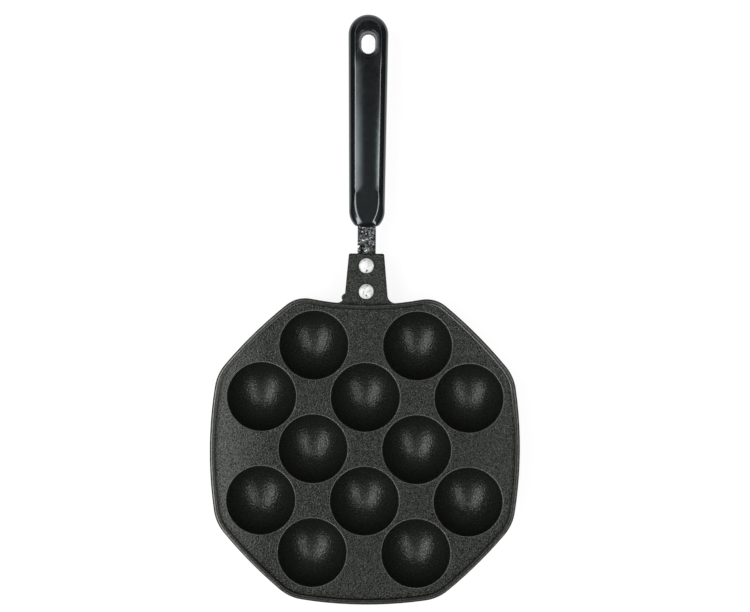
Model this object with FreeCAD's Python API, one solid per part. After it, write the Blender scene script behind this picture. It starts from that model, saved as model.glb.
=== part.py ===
import FreeCAD, Part
import math
import os

# A stove-top takoyaki pan: one aluminium casting with twelve round cups, a steel tang
# riveted under its tongue, and a phenolic handle moulded over the tang.
# Millimetres and degrees. +X is to the right, +Y runs out along the handle, +Z is up.
# The model is built about the pan's centre, then moved to the middle of its own footprint.

# Cups: a square lattice turned by 45 degrees, in rows of 2, 3, 2, 3 and 2, with the same
# gap between every two neighbours.
CUP_MOUTH_RADIUS = 22.85
CUP_GAP = 2.95
CUP_DEPTH = 21.5
CUP_WALL = 3.0
CUP_FLOOR = 2.5
CUP_EDGE_ROUND = 0.8
CUP_FLARE_RADIUS = 2.5
CUP_FLARE_SINK = 0.15
FOOT_RADIUS = 9.0
FOOT_HEIGHT = 2.2
FOOT_CHAMFER = 0.4

# Outline of the cooking plate: four sides, four diagonals, all slightly bowed out,
# except the side that carries the tongue, which is bowed in. The margins are the plate
# left between the outer cups and the lip.
SIDE_MARGIN = 7.45
DIAGONAL_MARGIN = 6.9
NOTCH_MARGIN = 0.85
SIDE_BOW_RADIUS = 275.0
DIAGONAL_BOW_RADIUS = 300.0
NOTCH_BOW_RADIUS = 195.0
CORNER_RADIUS = 30.0
NOTCH_CORNER_RADIUS = 20.0

# Plate and the stepped lip around it. The ledge is a shallow step inside the lip's crest,
# and its inner wall slants down to the plate.
PLATE_THICKNESS = 3.5
PLATE_UNDERCUT = 0.6
LIP_HEIGHT = 4.0
LIP_WIDTH = 1.9
LEDGE_DROP = 0.5
LEDGE_WIDTH = 1.1
LEDGE_WALL_RUN = 0.6
LIP_OUTER_ROUND = 1.2
LIP_INNER_ROUND = 0.35
LEDGE_ROUND = 0.45
UNDER_ROUND = 0.8

# Tongue that carries the handle, as long as its two rivets need.
TONGUE_END_HALF_WIDTH = 11.7
TONGUE_TAPER = 5.1
TONGUE_RISE = 1.5
TONGUE_ROOT_RADIUS = 5.3
TONGUE_CORNER_RADIUS = 1.2
TONGUE_EDGE_ROUND = 1.0

# Stub of the casting's gate, broken off beside the tongue's root and ground.
GATE_STUB_RADIUS = 2.7
GATE_STUB_REACH = 1.9
GATE_STUB_SINK = 0.9
GATE_STUB_DROP = 0.5

# Rivets. The rear one's head stays clear of the pan's side.
RIVET_SPACING = 17.1
RIVET_EDGE_DISTANCE = 8.1
RIVET_SIDE_CLEARANCE = 3.35
RIVET_SHANK_RADIUS = 2.5
RIVET_HOLE_CLEARANCE = 0.1
RIVET_HEAD_RADIUS = 5.15
RIVET_HEAD_RIM = 1.4
RIVET_HEAD_HEIGHT = 1.9
RIVET_HEAD_ROUND = 0.6
RIVET_TAIL_RADIUS = 4.4
RIVET_TAIL_HEIGHT = 1.6
RIVET_TAIL_CHAMFER = 0.5

# Steel tang.
TANG_WIDTH = 12.1
TANG_THICKNESS = 3.0
TANG_TAIL = 7.0
TANG_BEND_GAP = 3.0
TANG_BEND_RADIUS = 9.0
TANG_IN_HANDLE = 62.0
TANG_ANCHOR_RADIUS = 3.0
TANG_ANCHOR_SETBACK = 10.0
TANG_EDGE_ROUND = 0.4

# Handle, in its own straight frame: lengths run from its front tip, heights from the
# middle of the tang. It is tilted up by the tang's bend.
HANDLE_TILT = 3.0
HANDLE_CLEAR_OF_TONGUE = 17.4
HANDLE_LENGTH = 140.8
HANDLE_END_HALF_WIDTH = 13.2
HANDLE_FRONT_HALF_WIDTH = 11.85
HANDLE_TIP_HALF_WIDTH = 7.6
HANDLE_NOSE_LENGTH = 11.0
HANDLE_TIP_SETBACK = 1.0
HANDLE_TIP_BULGE = 1.0
HANDLE_BELOW = 8.0
HANDLE_EQUATOR_LOW = -3.0
HANDLE_EQUATOR_HIGH = 1.0
HANDLE_SHOULDER = 4.85
HANDLE_ABOVE = 8.0
HANDLE_BELLY_INSET = 3.2
SHOULDER_INSET = 1.4
SHOULDER_NOSE_LENGTH = 16.0
SHOULDER_TIP_HALF_WIDTH = 4.6
SHOULDER_TIP_SETBACK = 2.4
CREST_INSET = 5.15
CREST_TIP_HALF_WIDTH = 1.6
CREST_TIP_SETBACK = 5.5
CREST_TIP_BULGE = 0.4
CREST_NOSE_LENGTH = 20.0
CROWN_RADIUS = 40.0
SLOPE_LENGTH = 30.0
SLOPE_ANGLE = 5.0
HANDLE_BELLY_ROUND = 2.0
HANDLE_SIDE_ROUND = 1.6
HANDLE_RIDGE_ROUND = 0.8

# Hanging hole through the far end of the handle: its size at the bottom, from which it
# widens all the way up, and a shallow round recess about its mouth.
HANG_HOLE_WIDTH = 9.25
HANG_HOLE_LENGTH = 12.65
HANG_HOLE_SETBACK = 18.9
HANG_DRAFT = 4.0
HANG_BEVEL = 0.6
HANG_RECESS_WIDTH = 1.6
HANG_RECESS_DEPTH = 0.35

# Distances and levels that follow from the sizes above.
CUP_HALF_PITCH = (2 * CUP_MOUTH_RADIUS + CUP_GAP) / math.sqrt(2)
RIM_WIDTH = LIP_WIDTH + LEDGE_WIDTH + LEDGE_WALL_RUN
SIDE_DISTANCE = 2 * CUP_HALF_PITCH + CUP_MOUTH_RADIUS + SIDE_MARGIN + RIM_WIDTH
DIAGONAL_DISTANCE = 3 * CUP_HALF_PITCH / math.sqrt(2) + CUP_MOUTH_RADIUS + DIAGONAL_MARGIN + RIM_WIDTH
NOTCH_DISTANCE = 2 * CUP_HALF_PITCH + CUP_MOUTH_RADIUS + NOTCH_MARGIN + RIM_WIDTH
CUP_BOTTOM_Z = CUP_FLOOR
PLATE_TOP_Z = CUP_BOTTOM_Z + CUP_DEPTH
PLATE_UNDER_Z = PLATE_TOP_Z - PLATE_THICKNESS
LIP_TOP_Z = PLATE_TOP_Z + LIP_HEIGHT
LEDGE_TOP_Z = LIP_TOP_Z - LEDGE_DROP
CUP_SPHERE_RADIUS = (CUP_MOUTH_RADIUS ** 2 + CUP_DEPTH ** 2) / (2 * CUP_DEPTH)
CUP_CENTRE_Z = CUP_BOTTOM_Z + CUP_SPHERE_RADIUS
TONGUE_TOP_Z = PLATE_TOP_Z + TONGUE_RISE
REAR_RIVET_Y = NOTCH_DISTANCE + RIVET_SIDE_CLEARANCE + RIVET_HEAD_RADIUS
FRONT_RIVET_Y = REAR_RIVET_Y + RIVET_SPACING
TONGUE_END_Y = FRONT_RIVET_Y + RIVET_EDGE_DISTANCE
TANG_TOP_Z = PLATE_UNDER_Z
TANG_MIDDLE_Z = TANG_TOP_Z - TANG_THICKNESS / 2
TANG_UNDER_Z = TANG_TOP_Z - TANG_THICKNESS
TANG_START_Y = REAR_RIVET_Y - TANG_TAIL
BEND_Y = TONGUE_END_Y + TANG_BEND_GAP
HANDLE_TIP_Y = TONGUE_END_Y + HANDLE_CLEAR_OF_TONGUE
HANDLE_END_Y = HANDLE_TIP_Y + HANDLE_LENGTH
TANG_END_Y = HANDLE_TIP_Y + TANG_IN_HANDLE
HANG_HOLE_Y = HANDLE_END_Y - HANG_HOLE_SETBACK

V = FreeCAD.Vector
UP = V(0, 0, 1)
ALONG_X = V(1, 0, 0)
ALONG_Y = V(0, 1, 0)


def polar(radius, angle):
    """A point at this radius and angle about the pan's centre."""
    return V(radius * math.cos(math.radians(angle)), radius * math.sin(math.radians(angle)), 0)


def moved(shape, x, y, z):
    """A copy of the shape, moved by these amounts."""
    copy = shape.copy()
    copy.translate(V(x, y, z))
    return copy


def towards(start, end):
    """The unit vector from one point to another."""
    step = end.sub(start)
    return step.multiply(1 / step.Length)


def arc(start, middle, end):
    return Part.Arc(start, middle, end).toShape()


def line(start, end):
    return Part.LineSegment(start, end).toShape()


def circles_meet(first, first_radius, second, second_radius):
    """Where two circles meet, at the point nearer the pan's centre."""
    gap = second.sub(first).Length
    across = towards(first, second)
    share = (gap ** 2 + first_radius ** 2 - second_radius ** 2) / (2 * gap)
    height = math.sqrt(first_radius ** 2 - share ** 2)
    foot = first + across * share
    side = V(-across.y, across.x, 0) * height
    return min(foot + side, foot - side, key=lambda point: point.Length)


def plate_sides():
    """Each side of the plate as the centre, radius and bow of its circle, going round."""
    sides = []
    for number in range(8):
        angle = 45 * number
        if angle == 90:
            centre = polar(NOTCH_DISTANCE + NOTCH_BOW_RADIUS, angle)
            sides.append((centre, NOTCH_BOW_RADIUS, -1))
        elif number % 2:
            centre = polar(DIAGONAL_DISTANCE - DIAGONAL_BOW_RADIUS, angle)
            sides.append((centre, DIAGONAL_BOW_RADIUS, 1))
        else:
            centre = polar(SIDE_DISTANCE - SIDE_BOW_RADIUS, angle)
            sides.append((centre, SIDE_BOW_RADIUS, 1))
    return sides


def plate_corner(first, second):
    """The centre and radius of the round corner between two sides of the plate."""
    radius = NOTCH_CORNER_RADIUS if min(first[2], second[2]) < 0 else CORNER_RADIUS
    reaches = [side[1] - side[2] * radius for side in (first, second)]
    return circles_meet(first[0], reaches[0], second[0], reaches[1]), radius


def plate_outline(inset, level):
    """The plate's outline, drawn in by an inset all round, as one wire at a height."""
    sides = plate_sides()
    corners = [plate_corner(sides[i - 1], sides[i]) for i in range(8)]
    edges = []
    for number, (centre, radius, bow) in enumerate(sides):
        reach = radius - bow * inset
        before = corners[number][0]
        after, after_radius = corners[(number + 1) % 8]
        start = centre + towards(centre, before) * reach
        end = centre + towards(centre, after) * reach
        middle = centre + polar(bow * reach, 45 * number)
        edges.append(arc(start, middle, end))
        following = sides[(number + 1) % 8]
        next_reach = following[1] - following[2] * inset
        next_start = following[0] + towards(following[0], after) * next_reach
        bulge = towards(after, (end + next_start) * 0.5) * (after_radius - inset)
        edges.append(arc(end, after + bulge, next_start))
    wire = Part.Wire(edges)
    wire.translate(UP * level)
    return wire


def plate_slab(inset, low, high):
    """A slab with the plate's outline, drawn in by an inset, between two heights."""
    return Part.Face(plate_outline(inset, low)).extrude(UP * (high - low))


def tongue_outline():
    """The tongue's plan as a face: it flares into the notch with round roots."""
    slant = math.radians(TONGUE_TAPER)
    along = V(math.sin(slant), -math.cos(slant), 0)
    outward = V(math.cos(slant), math.sin(slant), 0)
    corner = V(TONGUE_END_HALF_WIDTH, TONGUE_END_Y, 0)
    notch_centre = V(0, NOTCH_DISTANCE + NOTCH_BOW_RADIUS, 0)
    reach = NOTCH_BOW_RADIUS - TONGUE_ROOT_RADIUS
    start = corner + outward * TONGUE_ROOT_RADIUS - notch_centre
    half = start.dot(along)
    run = -half + math.sqrt(half ** 2 - start.dot(start) + reach ** 2)
    root = notch_centre + start + along * run
    leave = corner + along * run
    land = notch_centre + towards(notch_centre, root) * NOTCH_BOW_RADIUS
    middle = root + towards(root, (leave + land) * 0.5) * TONGUE_ROOT_RADIUS
    sunk = V(land.x, NOTCH_DISTANCE - LIP_WIDTH, 0)
    other = [V(-point.x, point.y, 0) for point in (corner, leave, middle, land, sunk)]
    edges = [
        line(corner, leave),
        arc(leave, middle, land),
        line(land, sunk),
        line(sunk, other[4]),
        line(other[4], other[3]),
        arc(other[3], other[2], other[1]),
        line(other[1], other[0]),
        line(other[0], corner),
    ]
    return Part.Face(Part.Wire(edges))


def end_corners(solid):
    """The upright edges at the tongue's two end corners."""
    found = []
    for edge in solid.Edges:
        box = edge.BoundBox
        if box.ZLength > TONGUE_RISE and box.YLength < 0.01 and box.YMax > TONGUE_END_Y - 0.01:
            found.append(edge)
    return found


def tongue():
    """The tongue, level with the plate's underside, with its top edges rounded."""
    outline = tongue_outline()
    outline.translate(UP * PLATE_UNDER_Z)
    solid = outline.extrude(UP * (TONGUE_TOP_Z - PLATE_UNDER_Z))
    solid = solid.makeFillet(TONGUE_CORNER_RADIUS, end_corners(solid))
    top_edges = []
    for edge in solid.Edges:
        box = edge.BoundBox
        if box.ZMin > TONGUE_TOP_Z - 0.01 and box.YMax > NOTCH_DISTANCE + TONGUE_ROOT_RADIUS:
            top_edges.append(edge)
    return solid.makeFillet(TONGUE_EDGE_ROUND, top_edges)


def gate_stub():
    """The stub of the gate, low beside the root of the tongue."""
    root_y = NOTCH_DISTANCE + TONGUE_ROOT_RADIUS
    place = V(-TONGUE_END_HALF_WIDTH - GATE_STUB_REACH, root_y - GATE_STUB_SINK, PLATE_UNDER_Z)
    return Part.makeCylinder(GATE_STUB_RADIUS, TONGUE_TOP_Z - GATE_STUB_DROP - PLATE_UNDER_Z, place)


def edges_at(solid, level):
    """Level edges at this height."""
    found = []
    for edge in solid.Edges:
        box = edge.BoundBox
        if box.ZLength < 0.01 and abs(box.ZMin - level) < 0.01:
            found.append(edge)
    return found


def middle_of(edge):
    """The point half way along an edge."""
    return edge.valueAt((edge.FirstParameter + edge.LastParameter) / 2)


def outline_edges(solid, level, inset):
    """Level edges at this height that lie on the plate's outline, drawn in by an inset."""
    outline = plate_outline(inset, level)
    return [edge for edge in edges_at(solid, level)
            if outline.distToShape(Part.Vertex(middle_of(edge)))[0] < 0.01]


def rim():
    """The plate's slab with its lip and the ledge inside the lip."""
    lower = plate_outline(PLATE_UNDERCUT, PLATE_UNDER_Z)
    upper = plate_outline(0, PLATE_TOP_Z)
    skirt = Part.makeLoft([lower, upper], True, True)
    body = skirt.fuse(plate_slab(0, PLATE_TOP_Z, LIP_TOP_Z))
    body = body.cut(plate_slab(LIP_WIDTH, LEDGE_TOP_Z, LIP_TOP_Z))
    foot = plate_outline(RIM_WIDTH, PLATE_TOP_Z)
    brink = plate_outline(LIP_WIDTH + LEDGE_WIDTH, LEDGE_TOP_Z)
    body = body.cut(Part.makeLoft([foot, brink], True, True))
    rounds = [
        (LIP_OUTER_ROUND, LIP_TOP_Z, 0),
        (LIP_INNER_ROUND, LIP_TOP_Z, LIP_WIDTH),
        (LEDGE_ROUND, LEDGE_TOP_Z, LIP_WIDTH + LEDGE_WIDTH),
        (UNDER_ROUND, PLATE_UNDER_Z, PLATE_UNDERCUT),
    ]
    for radius, level, inset in rounds:
        body = body.makeFillet(radius, outline_edges(body, level, inset))
    return body


def cup_places():
    """The centres of the twelve cups."""
    places = []
    for row in range(-2, 3):
        columns = (-1, 1) if row % 2 == 0 else (-2, 0, 2)
        for column in columns:
            places.append((column * CUP_HALF_PITCH, row * CUP_HALF_PITCH))
    return places


def cup_dome():
    """The outside of one cup: a round shell with a flared root and a flat foot."""
    outer = CUP_SPHERE_RADIUS + CUP_WALL
    flare_z = PLATE_UNDER_Z - CUP_FLARE_RADIUS + CUP_FLARE_SINK
    reach = outer + CUP_FLARE_RADIUS
    lean = math.acos((CUP_CENTRE_Z - flare_z) / reach)
    centre = V(0, 0, CUP_CENTRE_Z)
    hinge = V(reach * math.sin(lean), 0, flare_z)
    leave = centre + towards(centre, hinge) * outer
    half_lean = V(math.sin(lean / 2), 0, -math.cos(lean / 2))
    crest = hinge + V(0, 0, CUP_FLARE_RADIUS)
    to_bisector = towards(hinge, (leave + crest) * 0.5)
    bottom = V(0, 0, CUP_CENTRE_Z - outer)
    inside = V(0, 0, crest.z)
    edges = [
        arc(bottom, centre + half_lean * outer, leave),
        arc(leave, hinge + to_bisector * CUP_FLARE_RADIUS, crest),
        line(crest, inside),
        line(inside, bottom),
    ]
    dome = Part.Face(Part.Wire(edges)).revolve(V(0, 0, 0), UP, 360)
    foot = Part.makeCylinder(FOOT_RADIUS, FOOT_HEIGHT)
    foot = foot.makeChamfer(FOOT_CHAMFER, edges_at(foot, 0))
    ground = Part.makeBox(2 * outer, 2 * outer, outer, V(-outer, -outer, -outer))
    return Part.Solid(dome).fuse(foot).cut(ground)


def cup_mouths(solid):
    """The edges where the cups meet the top of the plate."""
    found = []
    for edge in edges_at(solid, PLATE_TOP_Z):
        point = middle_of(edge)
        gaps = [math.hypot(point.x - x, point.y - y) for x, y in cup_places()]
        if abs(min(gaps) - CUP_MOUTH_RADIUS) < 0.01:
            found.append(edge)
    return found


def rivet_hole(y):
    """A drill for one rivet, through the tongue and the tang."""
    depth = TONGUE_TOP_Z - TANG_UNDER_Z
    radius = RIVET_SHANK_RADIUS + RIVET_HOLE_CLEARANCE
    return Part.makeCylinder(radius, depth, V(0, y, TANG_UNDER_Z))


def pan_casting():
    """The whole casting."""
    body = rim().fuse([tongue(), gate_stub()])
    dome = cup_dome()
    body = body.fuse([moved(dome, x, y, 0) for x, y in cup_places()])
    hollow = Part.makeSphere(CUP_SPHERE_RADIUS, V(0, 0, CUP_CENTRE_Z))
    body = body.cut([moved(hollow, x, y, 0) for x, y in cup_places()])
    body = body.removeSplitter()
    body = body.makeFillet(CUP_EDGE_ROUND, cup_mouths(body))
    return body.cut([rivet_hole(FRONT_RIVET_Y), rivet_hole(REAR_RIVET_Y)])


def tilted(shape):
    """The shape turned up about the tang's bend, from the handle's straight frame."""
    copy = shape.copy()
    copy.rotate(V(0, BEND_Y, TANG_MIDDLE_Z), ALONG_X, HANDLE_TILT)
    return copy


def handle_tang():
    """The steel strip, rounded under the tongue and bent up into the handle."""
    half = TANG_THICKNESS / 2
    turn = math.radians(HANDLE_TILT)
    setback = TANG_BEND_RADIUS * math.tan(turn / 2)
    flat_end = V(0, BEND_Y - setback, TANG_MIDDLE_Z)
    rise = V(0, math.cos(turn), math.sin(turn))
    rise_start = V(0, BEND_Y, TANG_MIDDLE_Z) + rise * setback
    rise_end = V(0, BEND_Y, TANG_MIDDLE_Z) + rise * (TANG_END_Y - BEND_Y)
    bend_centre = flat_end + UP * TANG_BEND_RADIUS
    bend_middle = bend_centre + V(0, math.sin(turn / 2), -math.cos(turn / 2)) * TANG_BEND_RADIUS
    path = Part.Wire([
        line(V(0, TANG_START_Y, TANG_MIDDLE_Z), flat_end),
        arc(flat_end, bend_middle, rise_start),
        line(rise_start, rise_end),
    ])
    corners = [V(x * TANG_WIDTH / 2, TANG_START_Y, TANG_MIDDLE_Z + z * half)
               for x, z in ((-1, -1), (1, -1), (1, 1), (-1, 1), (-1, -1))]
    strip = path.makePipeShell([Part.makePolygon(corners)], True, False)
    long_edges = [e for e in strip.Edges
                  if abs(abs(e.CenterOfMass.x) - TANG_WIDTH / 2) < 0.01 and e.BoundBox.YLength > 0.5]
    strip = strip.makeFillet(TANG_EDGE_ROUND, long_edges)
    anchor = Part.makeCylinder(TANG_ANCHOR_RADIUS, 2 * TANG_THICKNESS,
                               V(0, TANG_END_Y - TANG_ANCHOR_SETBACK, TANG_MIDDLE_Z - TANG_THICKNESS))
    drills = [rivet_hole(FRONT_RIVET_Y), rivet_hole(REAR_RIVET_Y), tilted(anchor)]
    return strip.cut(drills)


def rivet(y):
    """One rivet: a low, nearly flat head on the tongue and a flat tail under the tang."""
    sag = RIVET_HEAD_HEIGHT - RIVET_HEAD_RIM
    dome_radius = (RIVET_HEAD_RADIUS ** 2 + sag ** 2) / (2 * sag)
    rim_z = TONGUE_TOP_Z + RIVET_HEAD_RIM
    head = Part.makeCylinder(RIVET_HEAD_RADIUS, RIVET_HEAD_HEIGHT, V(0, y, TONGUE_TOP_Z))
    dome = Part.makeSphere(dome_radius, V(0, y, rim_z + sag - dome_radius))
    shank = Part.makeCylinder(RIVET_SHANK_RADIUS, TONGUE_TOP_Z - TANG_UNDER_Z, V(0, y, TANG_UNDER_Z))
    tail = Part.makeCylinder(RIVET_TAIL_RADIUS, RIVET_TAIL_HEIGHT,
                             V(0, y, TANG_UNDER_Z - RIVET_TAIL_HEIGHT))
    low = [e for e in tail.Edges if e.BoundBox.ZMax < TANG_UNDER_Z - RIVET_TAIL_HEIGHT / 2]
    tail = tail.makeChamfer(RIVET_TAIL_CHAMFER, low)
    head = head.common(dome)
    head = head.makeFillet(RIVET_HEAD_ROUND, edges_at(head, rim_z))
    return head.fuse([shank, tail]).removeSplitter()


def nose_arc(start, end):
    """An arc that leaves straight down the handle's side and lands on the tip's corner."""
    side = 1 if start.x > 0 else -1
    drop = start.y - end.y
    inward = abs(start.x) - abs(end.x)
    radius = (drop ** 2 + inward ** 2) / (2 * inward)
    half_turn = math.asin(min(1, drop / radius)) / 2
    x = abs(start.x) - radius * (1 - math.cos(half_turn))
    y = start.y - radius * math.sin(half_turn)
    return V(side * x, y, start.z)


def handle_layer(height, inset, nose_length, tip_half_width, setback, bulge):
    """The handle's outline at one height: tapered sides, a round end and a blunt nose.

    The sides are drawn in by the inset from the widest outline. The tip is an arc that
    bulges forward between two corners, which are set back from the handle's tip.
    """
    level = TANG_MIDDLE_Z + height
    front = HANDLE_FRONT_HALF_WIDTH - inset
    end = HANDLE_END_HALF_WIDTH - inset
    cap_y = HANDLE_END_Y - HANDLE_END_HALF_WIDTH
    nose_y = HANDLE_TIP_Y + nose_length
    corner_y = HANDLE_TIP_Y + setback
    right = [V(tip_half_width, corner_y, level), V(front, nose_y, level), V(end, cap_y, level)]
    left = [V(-point.x, point.y, level) for point in right]
    edges = [
        line(right[1], right[2]),
        arc(right[2], V(0, cap_y + end, level), left[2]),
        line(left[2], left[1]),
        arc(left[1], nose_arc(left[1], left[0]), left[0]),
        arc(left[0], V(0, corner_y - bulge, level), right[0]),
        arc(right[0], nose_arc(right[1], right[0]), right[1]),
    ]
    return Part.Wire(edges)


def side_layer(height, inset, tip_half_width, setback):
    """The handle's outline below its crest, drawn in evenly by an inset."""
    return handle_layer(height, inset, HANDLE_NOSE_LENGTH + inset, tip_half_width, setback,
                        HANDLE_TIP_BULGE)


def hang_outline(widen, level):
    """The hanging hole's long round outline at one height, widened all round."""
    radius = HANG_HOLE_WIDTH / 2 + widen
    half = (HANG_HOLE_LENGTH - HANG_HOLE_WIDTH) / 2
    near = HANG_HOLE_Y - half
    far = HANG_HOLE_Y + half
    edges = [
        line(V(radius, near, level), V(radius, far, level)),
        arc(V(radius, far, level), V(0, far + radius, level), V(-radius, far, level)),
        line(V(-radius, far, level), V(-radius, near, level)),
        arc(V(-radius, near, level), V(0, near - radius, level), V(radius, near, level)),
    ]
    return Part.Wire(edges)


def hang_loft(low, low_widen, high, high_widen):
    """A piece of the hanging hole between two heights, in the straight frame."""
    ends = [hang_outline(low_widen, low), hang_outline(high_widen, high)]
    return Part.makeLoft(ends, True, True)


def hang_hole():
    """The hanging hole: a drafted shaft, a bevel at each end and the recess on top."""
    draft = math.tan(math.radians(HANG_DRAFT))
    top = TANG_MIDDLE_Z + HANDLE_ABOVE
    bottom = TANG_MIDDLE_Z - HANDLE_BELOW
    floor = top - HANG_RECESS_DEPTH
    mouth = draft * (floor - bottom)
    recess = mouth + HANG_RECESS_WIDTH
    pieces = [
        hang_loft(bottom, 0, floor, mouth),
        hang_loft(bottom - HANG_BEVEL, 2 * HANG_BEVEL, bottom + HANG_BEVEL, 0),
        hang_loft(floor - HANG_BEVEL, mouth - draft * HANG_BEVEL, floor, mouth + HANG_BEVEL),
        hang_loft(floor, recess, top + HANG_RECESS_DEPTH, recess),
    ]
    return pieces[0].fuse(pieces[1:])


def handle_body():
    """The handle before its holes, in its straight frame."""
    layers = [
        side_layer(-HANDLE_BELOW, HANDLE_BELLY_INSET, HANDLE_TIP_HALF_WIDTH - HANDLE_BELLY_INSET / 2,
                   2 * HANDLE_TIP_SETBACK),
        side_layer(HANDLE_EQUATOR_LOW, 0, HANDLE_TIP_HALF_WIDTH, HANDLE_TIP_SETBACK),
        side_layer(HANDLE_EQUATOR_HIGH, 0, HANDLE_TIP_HALF_WIDTH, HANDLE_TIP_SETBACK),
        handle_layer(HANDLE_SHOULDER, SHOULDER_INSET, SHOULDER_NOSE_LENGTH, SHOULDER_TIP_HALF_WIDTH,
                     SHOULDER_TIP_SETBACK, HANDLE_TIP_BULGE),
        handle_layer(HANDLE_ABOVE, CREST_INSET, CREST_NOSE_LENGTH, CREST_TIP_HALF_WIDTH,
                     CREST_TIP_SETBACK, CREST_TIP_BULGE),
    ]
    slices = [Part.makeLoft(list(pair), True, True) for pair in zip(layers, layers[1:])]
    return slices[0].fuse(slices[1:]).removeSplitter()


def crown():
    """A long round bar whose top is the handle's crowned top."""
    axis_z = TANG_MIDDLE_Z + HANDLE_ABOVE - CROWN_RADIUS
    start = V(0, HANDLE_TIP_Y - HANDLE_LENGTH / 2, axis_z)
    return Part.makeCylinder(CROWN_RADIUS, 2 * HANDLE_LENGTH, start, ALONG_Y)


def front_slope():
    """The block that planes the front of the handle's top down towards the tip."""
    size = 2 * SLOPE_LENGTH
    block = Part.makeBox(size, size, size, V(-size / 2, -size, 0))
    block.rotate(V(0, 0, 0), ALONG_X, SLOPE_ANGLE)
    block.translate(V(0, HANDLE_TIP_Y + SLOPE_LENGTH, TANG_MIDDLE_Z + HANDLE_ABOVE))
    return block


def ridge_edges(body):
    """The edges where the handle's flanks meet its crowned top and its front slope."""
    top = [face for face in body.Faces
           if face.CenterOfMass.z > TANG_MIDDLE_Z + HANDLE_EQUATOR_HIGH
           and abs(face.CenterOfMass.x) < 0.01 and face.CenterOfMass.y < HANG_HOLE_Y
           and face.BoundBox.YLength > HANDLE_NOSE_LENGTH]
    shared = {}
    for face in top:
        for edge in face.Edges:
            shared.setdefault(edge.hashCode(), []).append(edge)
    return [edges[0] for edges in shared.values() if len(edges) == 1]


def handle_grip(tang):
    """The phenolic handle, moulded over the tang."""
    body = handle_body().common(crown()).cut(front_slope()).removeSplitter()
    body = body.makeFillet(HANDLE_RIDGE_ROUND, ridge_edges(body))
    body = body.makeFillet(HANDLE_BELLY_ROUND, edges_at(body, TANG_MIDDLE_Z - HANDLE_BELOW))
    body = body.makeFillet(HANDLE_SIDE_ROUND, edges_at(body, TANG_MIDDLE_Z + HANDLE_EQUATOR_LOW))
    body = tilted(body.cut(hang_hole()))
    return body.cut(tang)


def main():
    os.makedirs("parts", exist_ok=True)
    tang = handle_tang()
    nodes = {
        "pan_casting": pan_casting(),
        "handle_tang": tang,
        "front_rivet": rivet(FRONT_RIVET_Y),
        "rear_rivet": rivet(REAR_RIVET_Y),
        "handle_grip": handle_grip(tang),
    }
    far_end = nodes["handle_grip"].optimalBoundingBox(False, False).YMax
    centre_y = (far_end - SIDE_DISTANCE) / 2
    for name, shape in nodes.items():
        placed = moved(shape, 0, -centre_y, 0)
        placed.exportStep("parts/" + name + ".step")
        box = placed.BoundBox
        print(name, len(placed.Solids), placed.isValid(), round(placed.Volume),
              [round(value, 2) for value in (box.XMin, box.YMin, box.ZMin, box.XMax, box.YMax, box.ZMax)])
    print("pan centre at Y", round(-centre_y, 4))


main()
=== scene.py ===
import math

import bpy
from mathutils import Matrix, Vector, noise


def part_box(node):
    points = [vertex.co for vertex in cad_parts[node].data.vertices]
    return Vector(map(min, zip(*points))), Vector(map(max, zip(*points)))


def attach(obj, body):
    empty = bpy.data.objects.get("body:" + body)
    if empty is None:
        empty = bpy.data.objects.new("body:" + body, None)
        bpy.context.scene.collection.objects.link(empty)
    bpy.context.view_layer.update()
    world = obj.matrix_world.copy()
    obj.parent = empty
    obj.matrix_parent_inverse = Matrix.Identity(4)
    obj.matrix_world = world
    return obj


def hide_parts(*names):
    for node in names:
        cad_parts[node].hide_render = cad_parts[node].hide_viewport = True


# The looks of a stove-top takoyaki pan, in metres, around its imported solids.
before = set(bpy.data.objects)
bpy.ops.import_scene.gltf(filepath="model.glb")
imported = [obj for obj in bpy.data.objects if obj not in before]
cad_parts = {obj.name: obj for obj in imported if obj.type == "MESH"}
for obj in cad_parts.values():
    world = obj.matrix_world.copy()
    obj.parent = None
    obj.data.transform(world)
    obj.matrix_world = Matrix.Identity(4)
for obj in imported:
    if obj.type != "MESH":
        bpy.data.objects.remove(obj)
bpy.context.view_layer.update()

MM = 0.001

# The middle of the cooking plate: its outline is as far from it below as at the sides.
pan_low, pan_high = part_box("pan_casting")
PAN_CENTRE_Y = pan_low[1] + (pan_high[0] - pan_low[0]) / 2

# The tops of the plate and of the lip round it.
PLATE_TOP_Z = 24.0 * MM
LIP_TOP_Z = pan_high[2]


# ---------------------------------------------------------------- camera

# The picture's width in pixels, and the size of one of them on the plate's top.
IMAGE_WIDTH = 750
PLATE_MM_PER_PIXEL = 0.6632

# The camera looks straight down from above a point near the root of the tongue.
CAMERA_DISTANCE = 1.5
CAMERA_ROLL = math.radians(0.495)
CAMERA_OFFSET_X = 5.9 * MM
CAMERA_OFFSET_Y = 95.07 * MM
SENSOR_WIDTH = 36.0
CLIP_START = 0.05
CLIP_END = 50.0


def add_camera():
    """A camera straight above the pan, turned a little about its own axis."""
    view_width = IMAGE_WIDTH * PLATE_MM_PER_PIXEL * MM
    data = bpy.data.cameras.new("camera")
    data.sensor_fit = "HORIZONTAL"
    data.sensor_width = SENSOR_WIDTH
    data.lens = SENSOR_WIDTH * CAMERA_DISTANCE / view_width
    data.clip_start = CLIP_START
    data.clip_end = CLIP_END
    camera = bpy.data.objects.new("camera", data)
    bpy.context.scene.collection.objects.link(camera)
    camera.location = (CAMERA_OFFSET_X, PAN_CENTRE_Y + CAMERA_OFFSET_Y, PLATE_TOP_Z + CAMERA_DISTANCE)
    camera.rotation_euler = (0, 0, CAMERA_ROLL)
    bpy.context.scene.camera = camera


# ---------------------------------------------------------------- node helpers

# A Mix node's first and second input and its output, by number, for each kind of value.
MIX_SOCKETS = {"FLOAT": (2, 3, 0), "VECTOR": (4, 5, 1), "RGBA": (6, 7, 2)}


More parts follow.
